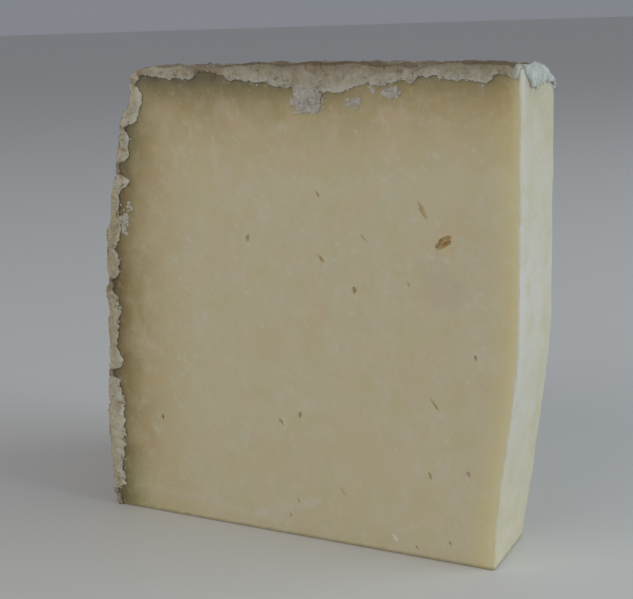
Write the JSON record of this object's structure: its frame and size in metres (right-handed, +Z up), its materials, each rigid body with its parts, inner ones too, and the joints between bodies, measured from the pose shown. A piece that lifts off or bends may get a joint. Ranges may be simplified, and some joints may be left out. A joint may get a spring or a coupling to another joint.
{
  "type": "cheddar wedge",
  "caption": "upright wedge cut from a tall hard cheese wheel, with a rough lobed rind over its flat top and bulging side, plain cut faces and a cut-off nose",
  "frame": {"origin": "middle of the box round the wedge, on the surface it stands on", "axes": "+Z up, the way the wedge stands on its level cut; the front cut face lies along X and looks to -Y, with the rinded side at -X and the cut-off nose at +X"},
  "size_m": [0.1228, 0.069, 0.1256],
  "materials": {
    "cheese": "matt pale yellow cheese paste under a rough grey-brown rind"
  },
  "bodies": {
    "root": {"cheddar_wedge": "cheese"}
  },
  "joints": []
}
